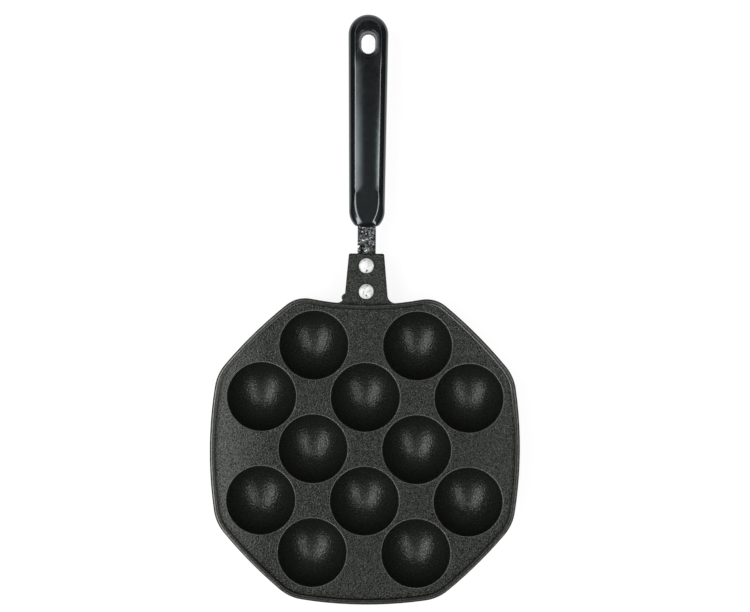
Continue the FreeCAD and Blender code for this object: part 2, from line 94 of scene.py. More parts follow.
class Graph:
    """The node tree of a material, a lamp or the world, built by short calls."""

    def __init__(self, owner):
        owner.use_nodes = True
        self.owner = owner
        self.tree = owner.node_tree
        self.tree.nodes.clear()

    def node(self, kind, inputs=None, **settings):
        """A new node, with inputs by name or number."""
        made = self.tree.nodes.new(kind)
        for key, value in settings.items():
            setattr(made, key, value)
        for key, value in (inputs or {}).items():
            self.feed(made.inputs[key], value)
        return made

    def feed(self, socket, value):
        """Links a socket to another node's output, or sets it to a constant."""
        if isinstance(value, bpy.types.NodeSocket):
            self.tree.links.new(value, socket)
        else:
            socket.default_value = value

    def position(self):
        """The point on the piece, in metres."""
        return self.node("ShaderNodeTexCoord").outputs["Object"]

    def axes(self, where):
        """The three coordinates of a point."""
        split = self.node("ShaderNodeSeparateXYZ", {"Vector": where})
        return split.outputs["X"], split.outputs["Y"], split.outputs["Z"]

    def noise(self, where, per_metre, detail=2.0, roughness=0.5, distortion=0.0):
        made = self.node("ShaderNodeTexNoise", {
            "Vector": where, "Scale": per_metre, "Detail": detail, "Roughness": roughness,
            "Distortion": distortion})
        return made.outputs["Fac"]

    def cells(self, where, per_metre):
        """The distance to the middle of the nearest cell, in cells."""
        return self.node("ShaderNodeTexVoronoi", {"Vector": where, "Scale": per_metre}).outputs["Distance"]

    def remap(self, value, low, high, to_low=0.0, to_high=1.0, shape="LINEAR"):
        """A number that runs from one range to another, and stays within the second."""
        made = self.node("ShaderNodeMapRange", {
            "Value": value, "From Min": low, "From Max": high, "To Min": to_low, "To Max": to_high},
            interpolation_type=shape)
        return made.outputs["Result"]

    def band(self, value, rise, fall):
        """One between a rise and a fall, each given by its start and end, and nought outside."""
        return self.product(self.remap(value, *rise), self.remap(value, *fall, 1.0, 0.0))

    def math(self, operation, first, second=0.0):
        return self.node("ShaderNodeMath", {0: first, 1: second}, operation=operation).outputs[0]

    def product(self, first, *others):
        """The numbers multiplied together."""
        for other in others:
            first = self.math("MULTIPLY", first, other)
        return first

    def opposite(self, share):
        """What is left of one."""
        return self.math("SUBTRACT", 1.0, share)

    def mix(self, share, first, second, kind="RGBA"):
        """A value that goes from the first to the second as the share goes from nought to one."""
        low, high, result = MIX_SOCKETS[kind]
        made = self.node("ShaderNodeMix", {"Factor": share, low: first, high: second}, data_type=kind)
        return made.outputs[result]

    def blend(self, share, first, second):
        """A number that goes from the first to the second."""
        return self.mix(share, first, second, "FLOAT")

    def shade(self, share, levels, tint=(1.0, 1.0, 1.0)):
        """A tinted grey that goes from the first of two levels to the second."""
        return self.mix(share, grey(levels[0], tint), grey(levels[1], tint))

    def bump(self, height, depth, strength=1.0):
        made = self.node("ShaderNodeBump", {"Height": height, "Distance": depth, "Strength": strength})
        return made.outputs["Normal"]

    def finish(self, **sockets):
        """A Principled surface with these sockets, wired to the output."""
        inputs = {key.replace("_", " "): value for key, value in sockets.items()}
        shader = self.node("ShaderNodeBsdfPrincipled", inputs)
        self.node("ShaderNodeOutputMaterial", {"Surface": shader.outputs["BSDF"]})
        return self.owner


def material_graph(name):
    return Graph(bpy.data.materials.new(name))


def grey(level, tint=(1.0, 1.0, 1.0)):
    return (level * tint[0], level * tint[1], level * tint[2], 1.0)


# ---------------------------------------------------------------- coating of the casting

COATING_TINT = (0.98, 1.0, 0.95)
COATING_SHEEN_TINT = (0.94, 1.0, 0.905, 1.0)
COATING_IOR = 1.44
CUP_TINT = (0.88, 1.0, 0.80)

# Grey levels. Where there are two, the skin's grit runs from the first to the second.
SKIN_SHADES = (0.0013, 0.0067)
CUP_SHADES = (0.0067, 0.012)
SPECK_SHADE = 0.067
# Painted sheen of the plate.
PAINTED_SHEEN_SHADE = 0.084
# Painted highlight of the cups' round edges.
EDGE_HIGHLIGHT_SHADE = 0.113
# Painted sheen of the lip.
RIM_SHEEN_SHADE = 0.04
# Painted shade of the step.
STEP_PAINTED_SHADE = 0.0013
# Painted highlights of the crest and of the wall.
CREST_HIGHLIGHT_SHADE = 0.227
WALL_HIGHLIGHT_SHADE = 0.333

# How much of each of these shades shows. Where there are two, the grit runs between them too.
PLATE_SPECKS = 0.16
TONGUE_SPECKS = 0.6
# Painted sheen of the plate, following the grit.
PAINTED_SHEEN_ON_GRIT = (0.2, 0.95)
# Painted highlight of the cups' round edges.
EDGE_HIGHLIGHT_SHARE = 0.85
# Painted sheen of the lip.
RIM_SHEEN_SHARE = 0.5
# How much of the grit shows in the painted highlights of the crest and the wall.
HIGHLIGHT_ON_GRIT = (0.7, 1.2)

# The skin's textures, and the stretch of their values that is spread from nought to one.
GRIT = {"per_metre": 1050.0, "roughness": 0.7}
GRIT_STRETCH = (0.40, 0.60)
PEBBLES = {"per_metre": 800.0, "detail": 1.0}
SPECKS_PER_METRE = 800.0
SPECK_STRETCH = (0.08, 0.26)

CUP_ROUGHNESS = (0.24, 0.34)
PLATE_ROUGHNESS = (0.14, 0.44)
RIM_ROUGHNESS = (0.18, 0.26)

# The grain's depth, and the part of it that each place has.
GRAIN_DEPTH = 0.6 * MM
SPECK_RELIEF = 0.3
CUP_RELIEF = 0.5
PLATE_RELIEF = 0.67
TONGUE_RELIEF = 1.2
RIM_RELIEF = 0.4


def heights(level, low, high):
    """Two heights that are given in millimetres above a level, or below it."""
    return (level + low * MM, level + high * MM)


# Where the skin changes: from the cups to the plate, and from the wall to the lip.
PLATE_SKIN = heights(PLATE_TOP_Z, -0.7, -0.2)
RIM_SKIN = heights(LIP_TOP_Z, -1.7, -1.1)

# The cups' round edges, with a pale painted highlight.
EDGE_RISE = heights(PLATE_TOP_Z, -0.55, -0.45)
EDGE_FALL = heights(PLATE_TOP_Z, -0.07, -0.02)

# Painted shade on the step up from the ledge to the crest.
STEP_RISE = heights(LIP_TOP_Z, -0.47, -0.44)
STEP_FALL = heights(LIP_TOP_Z, -0.08, -0.03)

# Painted sheen on the plate: its reach from the pan's middle, and how faint it is at two sides.
PAINTED_SHEEN_START = 65.0 * MM
PAINTED_SHEEN_FULL = 95.0 * MM
RIGHT_PAINTED_SHEEN = 0.16
LOW_PAINTED_SHEEN = 0.10

# The notch that carries the tongue, and the tongue, whose cast skin is coarser.
NOTCH_HALF_WIDTH = 36.0 * MM
NOTCH_SIDE = 12.0 * MM
NOTCH_START_Y = PAN_CENTRE_Y + 80.0 * MM
NOTCH_RUN = 5.0 * MM
TONGUE_START_Y = PAN_CENTRE_Y + 96.5 * MM
TONGUE_HALF_WIDTH = 19.0 * MM
TONGUE_EDGE = 1.0 * MM

# A painted highlight along the crest: growing towards the left, a little more above, and less in the
# notch.
CREST_RISE = heights(LIP_TOP_Z, -0.03, -0.01)
LEFT_HIGHLIGHT_START = 50.0 * MM
LEFT_HIGHLIGHT_FULL = 100.0 * MM
LEFT_HIGHLIGHT = (0.22, 0.95)
UPPER_HIGHLIGHT_REACH = 60.0 * MM
UPPER_HIGHLIGHT = 0.12
NOTCH_HIGHLIGHT = 0.25

# A painted highlight on the wall and the ledge's inner edge: on the upper diagonals, less on the left one.
WALL_RISE = heights(PLATE_TOP_Z, 0.15, 2.5)
WALL_FALL = heights(LIP_TOP_Z, -0.7, -0.6)
WALL_HIGHLIGHT_START = 15.0 * MM
WALL_HIGHLIGHT_FULL = 45.0 * MM
WALL_HIGHLIGHT_MIDDLE = 30.0 * MM
LEFT_WALL_HIGHLIGHT = 0.65


def painted_sheen_share(g, x, y):
    """How much painted sheen the plate has: most at its left side."""
    left = g.remap(x, -PAINTED_SHEEN_START, -PAINTED_SHEEN_FULL)
    right = g.remap(x, PAINTED_SHEEN_START, PAINTED_SHEEN_FULL, 0.0, RIGHT_PAINTED_SHEEN)
    low = g.remap(y, PAN_CENTRE_Y - PAINTED_SHEEN_START, PAN_CENTRE_Y - PAINTED_SHEEN_FULL, 0.0, LOW_PAINTED_SHEEN)
    return g.math("ADD", g.math("ADD", left, right), low)


def tongue_share(g, x, y):
    """One on the tongue, nought on the rest of the casting."""
    along = g.remap(y, TONGUE_START_Y, TONGUE_START_Y + TONGUE_EDGE)
    aside = g.math("ABSOLUTE", x)
    return g.product(along, g.remap(aside, TONGUE_HALF_WIDTH - TONGUE_EDGE, TONGUE_HALF_WIDTH, 1.0, 0.0))


def beside_notch(g, x):
    """One to the left and right of the notch, nought within its width."""
    return g.remap(g.math("ABSOLUTE", x), NOTCH_HALF_WIDTH, NOTCH_HALF_WIDTH + NOTCH_SIDE)


def crest_highlight(g, x, y, z):
    """How strong the crest's painted highlight is round the pan: most at the left, least in the notch."""
    left = g.remap(x, -LEFT_HIGHLIGHT_START, -LEFT_HIGHLIGHT_FULL, *LEFT_HIGHLIGHT)
    upper = g.remap(y, PAN_CENTRE_Y - UPPER_HIGHLIGHT_REACH, PAN_CENTRE_Y + UPPER_HIGHLIGHT_REACH,
                    -UPPER_HIGHLIGHT, UPPER_HIGHLIGHT)
    notch = g.product(g.remap(y, NOTCH_START_Y, NOTCH_START_Y + NOTCH_RUN), g.opposite(beside_notch(g, x)))
    return g.product(g.remap(z, *CREST_RISE), g.math("ADD", left, upper), g.blend(notch, 1.0, NOTCH_HIGHLIGHT))


def wall_highlight(g, x, y, z):
    """The painted highlight on the wall and the ledge's edge, on the two diagonals next to the tongue."""
    upper = g.remap(y, PAN_CENTRE_Y + WALL_HIGHLIGHT_START, PAN_CENTRE_Y + WALL_HIGHLIGHT_FULL)
    right = g.remap(x, -WALL_HIGHLIGHT_MIDDLE, WALL_HIGHLIGHT_MIDDLE, LEFT_WALL_HIGHLIGHT, 1.0)
    return g.product(g.band(z, WALL_RISE, WALL_FALL), upper, beside_notch(g, x), right)


def coating_material():
    """Black non-stick coating over a cast surface: gritty on the flat, smoother in the cups."""
    g = material_graph("nonstick_coating")
    where = g.position()
    x, y, z = g.axes(where)
    grit = g.remap(g.noise(where, **GRIT), *GRIT_STRETCH)
    pebbles = g.noise(where, **PEBBLES)
    specks = g.remap(g.cells(where, SPECKS_PER_METRE), *SPECK_STRETCH, 1.0, 0.0)
    plate = g.remap(z, *PLATE_SKIN)
    rim = g.remap(z, *RIM_SKIN)
    tongue = tongue_share(g, x, y)
    highlight_grit = g.blend(grit, *HIGHLIGHT_ON_GRIT)

    base = g.mix(plate, g.shade(grit, CUP_SHADES, CUP_TINT), g.shade(grit, SKIN_SHADES, COATING_TINT))
    layers = [
        (g.product(specks, plate, g.blend(tongue, PLATE_SPECKS, TONGUE_SPECKS)), SPECK_SHADE),
        # Painted sheen on the plate, paler towards its sides.
        (g.product(painted_sheen_share(g, x, y), plate, g.blend(grit, *PAINTED_SHEEN_ON_GRIT)), PAINTED_SHEEN_SHADE),
        # Painted highlight on the cups' round edges.
        (g.product(g.band(z, EDGE_RISE, EDGE_FALL), EDGE_HIGHLIGHT_SHARE), EDGE_HIGHLIGHT_SHADE),
        # Painted sheen on the lip.
        (g.product(rim, RIM_SHEEN_SHARE), RIM_SHEEN_SHADE),
        # Painted shade on the step from the ledge to the crest.
        (g.band(z, STEP_RISE, STEP_FALL), STEP_PAINTED_SHADE),
        # Painted highlight on the crest.
        (g.product(crest_highlight(g, x, y, z), highlight_grit), CREST_HIGHLIGHT_SHADE),
        # Painted highlight on the wall and the ledge's inner edge.
        (g.product(wall_highlight(g, x, y, z), g.opposite(tongue), highlight_grit), WALL_HIGHLIGHT_SHADE),
    ]
    for share, shade in layers:
        base = g.mix(share, base, grey(shade, COATING_TINT))

    rough = g.blend(plate, g.blend(grit, *CUP_ROUGHNESS), g.blend(grit, *PLATE_ROUGHNESS))
    rough = g.blend(rim, rough, g.blend(grit, *RIM_ROUGHNESS))
    relief = g.blend(tongue, g.blend(plate, CUP_RELIEF, PLATE_RELIEF), TONGUE_RELIEF)
    relief = g.blend(rim, relief, RIM_RELIEF)
    height = g.math("ADD", pebbles, g.product(specks, SPECK_RELIEF))
    normal = g.bump(g.product(height, relief), GRAIN_DEPTH)
    return g.finish(Base_Color=base, Roughness=rough, IOR=COATING_IOR, Specular_Tint=COATING_SHEEN_TINT,
                    Normal=normal)


# ---------------------------------------------------------------- steel of the tang

STEEL_TINT = (0.97, 1.0, 1.03)
STEEL_SHADES = (0.016, 0.227)
# Painted glints: pale spots that stand in for reflections.
PAINTED_GLINT_SHADE = 0.93
STEEL_ROUGHNESS = (0.42, 0.26)

# The crinkles lie in a space that is warped a little by a noise of its own.
WARPS_PER_METRE = 500.0
WARP_SHARE = 0.0012
FOLDS = {"per_metre": 600.0, "detail": 3.0, "roughness": 0.6, "distortion": 0.8}
STEEL_CLOUD = {"per_metre": 220.0}
STEEL_CLOUD_SHARE = 0.4
STEEL_STRETCH = (0.40, 0.62)
# Where the painted glints lie.
PAINTED_GLINTS = {"per_metre": 420.0, "detail": 1.0, "distortion": 1.2}
PAINTED_GLINT_STRETCH = (0.64, 0.69)
FACETS_PER_METRE = 900.0
FACET_RELIEF = 0.5
CRINKLE_DEPTH = 0.9 * MM


def steel_material():
    """Plated steel with a dark, crinkled skin that glints on its folds, and pale painted glints."""
    g = material_graph("plated_steel")
    where = g.position()
    warp = g.node("ShaderNodeTexNoise", {"Vector": where, "Scale": WARPS_PER_METRE})
    where = g.mix(WARP_SHARE, where, warp.outputs["Color"], "VECTOR")
    folds = g.noise(where, **FOLDS)
    cloud = g.noise(where, **STEEL_CLOUD)
    shade = g.remap(g.blend(STEEL_CLOUD_SHARE, folds, cloud), *STEEL_STRETCH)
    base = g.shade(shade, STEEL_SHADES, STEEL_TINT)
    # Painted glints over the skin.
    painted_glint = g.remap(g.noise(where, **PAINTED_GLINTS), *PAINTED_GLINT_STRETCH)
    base = g.mix(painted_glint, base, grey(PAINTED_GLINT_SHADE, STEEL_TINT))
    facets = g.product(g.cells(where, FACETS_PER_METRE), FACET_RELIEF)
    normal = g.bump(g.math("ADD", folds, facets), CRINKLE_DEPTH)
    rough = g.blend(shade, *STEEL_ROUGHNESS)
    return g.finish(Base_Color=base, Metallic=1.0, Roughness=rough, Normal=normal)


# ---------------------------------------------------------------- aluminium of the rivets

ALUMINIUM_SHADES = (0.74, 0.44)
# Painted shade at the head's rounded edge and in its pit.
RIVET_EDGE_PAINTED_SHADE = 0.44
RIVET_EDGE_PAINTED_SHARE = 0.55
RIVET_PIT_PAINTED_SHADE = 0.26
ALUMINIUM_ROUGHNESS = (0.42, 0.58)

MOTTLE = {"per_metre": 430.0, "detail": 3.0, "roughness": 0.6}
MOTTLE_STRETCH = (0.48, 0.66)
SATIN = {"per_metre": 3000.0}
SATIN_STRETCH = (0.3, 0.7)
SATIN_DEPTH = 0.03 * MM
SATIN_STRENGTH = 0.6

# Depths under the head's top. From the first to the second, the painted shade of its edge or its pit grows
# lighter.
RIVET_EDGE_DEPTHS = (0.42 * MM, 0.16 * MM)
RIVET_PIT_DEPTHS = (0.85 * MM, 0.45 * MM)


def rivet_material():
    """Set aluminium with a bright satin skin, faintly mottled, with painted shade at its edge and in its
    pit.
    """
    g = material_graph("rivet_aluminium")
    where = g.position()
    _, _, z = g.axes(where)
    depth = g.math("SUBTRACT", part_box("front_rivet")[1][2], z)
    # Painted shade at the head's rounded edge and in its pit.
    edge = g.remap(depth, *RIVET_EDGE_DEPTHS, RIVET_EDGE_PAINTED_SHARE, 0.0)
    pit = g.remap(depth, *RIVET_PIT_DEPTHS, 1.0, 0.0)
    satin = g.noise(where, **SATIN)
    base = g.shade(g.remap(g.noise(where, **MOTTLE), *MOTTLE_STRETCH), ALUMINIUM_SHADES)
    base = g.mix(edge, base, grey(RIVET_EDGE_PAINTED_SHADE))
    base = g.mix(pit, base, grey(RIVET_PIT_PAINTED_SHADE))
    rough = g.remap(satin, *SATIN_STRETCH, *ALUMINIUM_ROUGHNESS)
    normal = g.bump(satin, SATIN_DEPTH, SATIN_STRENGTH)
    return g.finish(Base_Color=base, Metallic=1.0, Roughness=rough, Normal=normal)


# ---------------------------------------------------------------- shape of the handle

# The handle's own frame, in millimetres: x across, u from its front tip and h above the
# middle of the tang. The tang's bend tilts it up.
HANDLE_TILT = math.radians(3.0)
TANG_MIDDLE_Z = 19.0
BEND_FROM_CENTRE = 132.8
TIP_FROM_BEND = 14.4

HANDLE_LENGTH = 140.8
END_HALF_WIDTH = 13.2
FRONT_HALF_WIDTH = 11.85
TIP_HALF_WIDTH = 7.6
NOSE_LENGTH = 11.0
TIP_SETBACK = 1.0
TIP_BULGE = 1.0

# How the nose changes with each millimetre that the outline is drawn in, and its least tip.
NOSE_SPREAD = 3.0
TIP_NARROWING = 1.4
TIP_LEAN = 1.17
LEAST_TIP_HALF_WIDTH = 0.5

# The flank: a large round from the widest line, then a slant up to the ridge. The widest
# line sinks a little along the handle.
WIDEST_LINE = 2.1
WIDEST_LINE_SINK = 0.15
SINK_START = 28.0
SINK_RUN = 70.0
SIDE_ROUND = 5.0
FLANK_ANGLE = math.radians(40.0)
SLANT_INSET = SIDE_ROUND * (1 - math.sin(FLANK_ANGLE))
LAST_INSET = 5.8

# The top: crowned, more so at the front and not at all round the far end, with a flatter
# slope towards the tip.
CROWN_HEIGHT = 7.93
CROWN_CURVE = 0.0135
FRONT_CURVE = 0.0105
FRONT_CURVE_END = 45.0
FRONT_CURVE_FADE = 60.0
CAP_START = 106.0
CAP_RUN = 12.0
SLOPE_START = 22.0
SLOPE_BLEND = 3.5
SLOPE_HEIGHT = 7.53
SLOPE_FALL = 0.04

# How round the ridge between flank and top is: crisp at the nose and round the far end.
RIDGE_SOFTNESS = 0.9
NOSE_SOFTNESS = 0.35
NOSE_SOFTNESS_END = 6.0
NOSE_SOFTNESS_FADE = 14.0
CAP_SOFTNESS = 0.12

BELLY_START = -2.0
BELLY_DEPTH = 6.0
BELLY_INSET = 4.6
BOTTOM_HEIGHT = BELLY_START - BELLY_DEPTH

# The hanging hole: its bottom outline, then how it widens upwards, and the recess about it.
HOLE_FROM_END = 18.9
HOLE_MIDDLE = HANDLE_LENGTH - HOLE_FROM_END
HOLE_RADIUS = 4.625
HOLE_HALF_STRAIGHT = 1.7
HOLE_WIDENING = 1.1
HOLE_LIP = 0.62
HOLE_LAND = 0.45
HOLE_LAND_TOP = 1.0
MOUTH_RADIUS = HOLE_RADIUS + HOLE_WIDENING + HOLE_LIP
RECESS_FLOOR = 0.7
RECESS_STEP = 0.5
RECESS_DEPTH = 0.33

# The hole's outline has as many points as the handle's. Those of the long sides, up to the
# start here, take only a small share of it.
HOLE_SPREAD_START = 98.0
HOLE_SPREAD_RUN = 14.0
SIDE_CROWDING = 0.03

# How finely each stretch of the handle is divided, and how often its nose is smoothed.
TIP_STEPS = 8
NOSE_STEPS = 18
SIDE_STEPS = 48
CAP_STEPS = 18
SOFTENING_PASSES = 3
ROUND_STEPS = 14
SLANT_STEPS = 30
TOP_STEPS = 36
BELLY_STEPS = 12
UNDER_STEPS = 16
LIP_STEPS = 6
RECESS_STEPS = 6
WALL_STEPS = 6


def place_on_handle(x, u, h):
    """A point of the handle's own frame, in the row frame and in metres."""
    along = TIP_FROM_BEND + u
    y = BEND_FROM_CENTRE + along * math.cos(HANDLE_TILT) - h * math.sin(HANDLE_TILT)
    z = TANG_MIDDLE_Z + along * math.sin(HANDLE_TILT) + h * math.cos(HANDLE_TILT)
    return (x * MM, PAN_CENTRE_Y + y * MM, z * MM)


def clamp(value):
    return min(1.0, max(0.0, value))


def smooth_step(value):
    value = clamp(value)
    return value * value * (3 - 2 * value)


def soft_min(first, second, softness):
    """The smaller of two heights, with a round where they cross."""
    near = max(softness - abs(first - second), 0) / softness
    return min(first, second) - near * near * softness / 4


def softened(points, count):
    """The points with the corners among the first few rounded off, ends kept."""
    for _ in range(SOFTENING_PASSES):
        before = list(points)
        for i in range(1, count):
            points[i] = tuple((before[i - 1][k] + 2 * before[i][k] + before[i + 1][k]) / 4 for k in (0, 1))
    return points


def handle_outline(inset):
    """The right half of the handle's outline, drawn in by an inset, from the tip to the far end."""
    front = FRONT_HALF_WIDTH - inset
    end = END_HALF_WIDTH - inset
    cap_u = HANDLE_LENGTH - END_HALF_WIDTH
    nose_u = NOSE_LENGTH + NOSE_SPREAD * inset
    tip_x = max(LEAST_TIP_HALF_WIDTH, TIP_HALF_WIDTH - TIP_NARROWING * inset)
    corner_u = TIP_SETBACK + TIP_LEAN * inset
    points = []
    for step in range(TIP_STEPS):
        share = step / TIP_STEPS
        points.append((tip_x * share, corner_u - TIP_BULGE * (1 - share * share)))
    drop = nose_u - corner_u
    inward = front - tip_x
    radius = (drop * drop + inward * inward) / (2 * inward)
    turn = math.asin(drop / radius)
    for step in range(NOSE_STEPS):
        angle = turn * (1 - step / NOSE_STEPS)
        points.append((front - radius * (1 - math.cos(angle)), nose_u - radius * math.sin(angle)))
    for step in range(SIDE_STEPS):
        share = step / SIDE_STEPS
        points.append((front + (end - front) * share, nose_u + (cap_u - nose_u) * share))
    for step in range(CAP_STEPS + 1):
        angle = math.pi / 2 * step / CAP_STEPS
        points.append((end * math.cos(angle), cap_u + end * math.sin(angle)))
    return softened(points, TIP_STEPS + NOSE_STEPS)


def hole_angles():
    """For each point of the half outline, the angle at which it meets the hole's outline."""
    outline = handle_outline(LAST_INSET)
    travelled = [0.0]
    for before, after in zip(outline, outline[1:]):
        near_hole = smooth_step((after[1] - HOLE_SPREAD_START) / HOLE_SPREAD_RUN)
        share = SIDE_CROWDING + (1 - SIDE_CROWDING) * near_hole
        travelled.append(travelled[-1] + math.dist(before, after) * share)
    return [math.pi * (distance / travelled[-1] - 0.5) for distance in travelled]


def hole_outline(radius):
    """The right half of an outline about the hanging hole, matching handle_outline's points."""
    points = []
    for angle in hole_angles():
        offset = math.copysign(HOLE_HALF_STRAIGHT, angle)
        points.append((radius * math.cos(angle), HOLE_MIDDLE + offset + radius * math.sin(angle)))
    return points


def cap_share(u):
    """Nought along the handle, going to one round its flat far end."""
    return smooth_step((u - CAP_START) / CAP_RUN)


def top_height(x, u):
    """Height of the handle's top: the crown, and the flatter slope at its front."""
    curve = CROWN_CURVE + FRONT_CURVE * (1 - smooth_step((u - FRONT_CURVE_END) / FRONT_CURVE_FADE))
    crown = CROWN_HEIGHT - curve * (1 - cap_share(u)) * x * x / 2
    slope = SLOPE_HEIGHT - (SLOPE_START - u) * SLOPE_FALL
    return slope + (crown - slope) * smooth_step((u - SLOPE_START) / SLOPE_BLEND)


def flank_height(inset, u):
    """Height of the flank where it is drawn in by an inset."""
    widest = WIDEST_LINE - WIDEST_LINE_SINK * clamp((u - SINK_START) / SINK_RUN)
    if inset < SLANT_INSET:
        return widest + math.sqrt(SIDE_ROUND ** 2 - (SIDE_ROUND - inset) ** 2)
    start = widest + SIDE_ROUND * math.cos(FLANK_ANGLE)
    return start + (inset - SLANT_INSET) * math.tan(FLANK_ANGLE)


def ridge_softness(u):
    """How round the ridge is: soft along the handle, crisp at its nose and round its far end."""
    beyond_nose = smooth_step((u - NOSE_SOFTNESS_END) / NOSE_SOFTNESS_FADE)
    along = NOSE_SOFTNESS + (RIDGE_SOFTNESS - NOSE_SOFTNESS) * beyond_nose
    return along + (CAP_SOFTNESS - RIDGE_SOFTNESS) * cap_share(u)


def upper_ring(inset):
    """One ring of the handle's upper side, over the outline that is drawn in by an inset."""
    ring = []
    for x, u in handle_outline(inset):
        height = soft_min(flank_height(inset, u), top_height(x, u), ridge_softness(u))
        ring.append((x, u, height))
    return ring


def between(first, second, share):
    """A ring of plan points between two others."""
    return [(a[0] + (b[0] - a[0]) * share, a[1] + (b[1] - a[1]) * share) for a, b in zip(first, second)]


def under_rings():
    """From the hole's bottom mouth out over the flat underside, and up the belly to the side."""
    rings = []
    under = handle_outline(BELLY_INSET)
    mouth = hole_outline(HOLE_RADIUS + HOLE_LIP)
    for step in range(UNDER_STEPS):
        plan = between(under, mouth, 1 - step / UNDER_STEPS)
        rings.append([(x, u, BOTTOM_HEIGHT) for x, u in plan])
    for step in range(BELLY_STEPS):
        angle = math.pi / 2 * (1 - step / BELLY_STEPS)
        inset = BELLY_INSET * (1 - math.cos(angle))
        height = BELLY_START - BELLY_DEPTH * math.sin(angle)
        rings.append([(x, u, height) for x, u in handle_outline(inset)])
    rings.append([(x, u, BELLY_START) for x, u in handle_outline(0)])
    return rings


def flank_rings():
    """Round the side from its widest line, and up the slant over the ridge."""
    rings = []
    lean = math.pi / 2 - FLANK_ANGLE
    for step in range(ROUND_STEPS):
        rings.append(upper_ring(SIDE_ROUND * (1 - math.cos(lean * step / ROUND_STEPS))))
    for step in range(SLANT_STEPS):
        rings.append(upper_ring(SLANT_INSET + (LAST_INSET - SLANT_INSET) * step / SLANT_STEPS))
    return rings


def top_rings():
    """In over the crowned top, to the edge of the recess."""
    rings = []
    outer = handle_outline(LAST_INSET)
    inner = hole_outline(MOUTH_RADIUS + RECESS_FLOOR + RECESS_STEP)
    for step in range(TOP_STEPS + 1):
        plan = between(outer, inner, step / TOP_STEPS)
        rings.append([(x, u, top_height(x, u)) for x, u in plan])
    return rings


def recess_profile():
    """Radius and depth of each ring of the recess and the rounded lip of the hole."""
    profile = []
    for step in range(1, RECESS_STEPS + 1):
        share = step / RECESS_STEPS
        radius = MOUTH_RADIUS + RECESS_FLOOR + RECESS_STEP * (1 - share)
        profile.append((radius, RECESS_DEPTH * smooth_step(share)))
    profile.append((MOUTH_RADIUS + RECESS_FLOOR / 2, RECESS_DEPTH))
    for step in range(LIP_STEPS + 1):
        angle = math.pi / 2 * step / LIP_STEPS
        depth = RECESS_DEPTH + HOLE_LIP * (1 - math.cos(angle))
        profile.append((MOUTH_RADIUS - HOLE_LIP * math.sin(angle), depth))
    return profile


def hole_rings():
    """Down into the recess and the hole, along its tapered wall, and out round its bottom edge."""
    rings = []
    for radius, depth in recess_profile():
        rings.append([(x, u, top_height(x, u) - depth) for x, u in hole_outline(radius)])
    land_top = BOTTOM_HEIGHT + HOLE_LIP + HOLE_LAND_TOP
    for step in range(1, WALL_STEPS + 1):
        share = step / WALL_STEPS
        radius = HOLE_RADIUS + HOLE_WIDENING + (HOLE_LAND - HOLE_WIDENING) * share
        ring = []
        for x, u in hole_outline(radius):
            high = top_height(x, u) - RECESS_DEPTH - HOLE_LIP
            ring.append((x, u, high + (land_top - high) * share))
        rings.append(ring)
    for step in range(1, LIP_STEPS + 1):
        angle = math.pi / 2 * step / LIP_STEPS
        radius = HOLE_RADIUS + HOLE_LAND * math.cos(angle)
        height = land_top - HOLE_LAND * (1 - math.cos(angle))
        rings.append([(x, u, height) for x, u in hole_outline(radius)])
    for step in range(LIP_STEPS):
        angle = math.pi / 2 * step / LIP_STEPS
        radius = HOLE_RADIUS + HOLE_LIP * (1 - math.cos(angle))
        height = BOTTOM_HEIGHT + HOLE_LIP * (1 - math.sin(angle))
        rings.append([(x, u, height) for x, u in hole_outline(radius)])
    return rings


def finished_mesh(name, vertices, faces):
    mesh = bpy.data.meshes.new(name)
    mesh.from_pydata(vertices, [], faces)
    mesh.update()
    mesh.shade_smooth()
    return mesh


def handle_mesh():
    """The handle's half rings, mirrored left to right and closed into a ring of rings."""
    half_rings = under_rings() + flank_rings() + top_rings() + hole_rings()
    vertices = []
    for ring in half_rings:
        left = [(-x, u, h) for x, u, h in ring[-2:0:-1]]
        vertices.extend(place_on_handle(*point) for point in ring + left)
    around = 2 * (len(half_rings[0]) - 1)
    count = len(half_rings)
    faces = []
    for i in range(count):
        for j in range(around):
            after = (j + 1) % around
            above = (i + 1) % count
            faces.append((i * around + j, i * around + after, above * around + after, above * around + j))
    return finished_mesh("handle", vertices, faces)


# ---------------------------------------------------------------- phenolic of the handle

PHENOLIC_TINT = (0.9, 1.0, 1.03)
PHENOLIC_SHEEN_TINT = (0.88, 1.0, 1.02, 1.0)
PHENOLIC_IOR = 1.70
PHENOLIC_SHADES = (0.002, 0.0053)
PHENOLIC_ROUGHNESS = (0.09, 0.14)
PHENOLIC_CLOUD = {"per_metre": 350.0, "detail": 3.0, "roughness": 0.6}
CLOUD_STRETCH = (0.3, 0.7)
WAVE = {"per_metre": 60.0}
WAVE_DEPTH = 0.3 * MM
WAVE_STRENGTH = 0.3

# Pale grains under the surface.
DUST_SHADE = 0.133
DUST_PER_METRE = 260.0
DUST_STRETCH = (0.04, 0.10)
DUST_SHARE = 0.12

# The hanging hole's wall is duller than the outside, and paler with a painted sheen. The hole's
# middle is taken at a height in the handle's own frame.
HOLE_WALL_SHEEN_SHADE = 0.067
HOLE_WALL_ROUGHNESS = 0.5
HOLE_WALL_LEVEL = 6.0
HOLE_WALL_EDGE = 0.1 * MM


def hole_wall_share(g, where):
    """One on the wall of the hanging hole, nought outside it."""
    x, y, _ = g.axes(where)
    middle = place_on_handle(0, HOLE_MIDDLE, HOLE_WALL_LEVEL)
    along = g.math("ABSOLUTE", g.math("SUBTRACT", y, middle[1]))
    along = g.math("MAXIMUM", g.math("SUBTRACT", along, HOLE_HALF_STRAIGHT * MM), 0.0)
    distance = g.math("SQRT", g.math("ADD", g.product(along, along), g.product(x, x)))
    edge = (MOUTH_RADIUS - HOLE_LIP / 2) * MM
    return g.remap(distance, edge - HOLE_WALL_EDGE, edge + HOLE_WALL_EDGE, 1.0, 0.0)


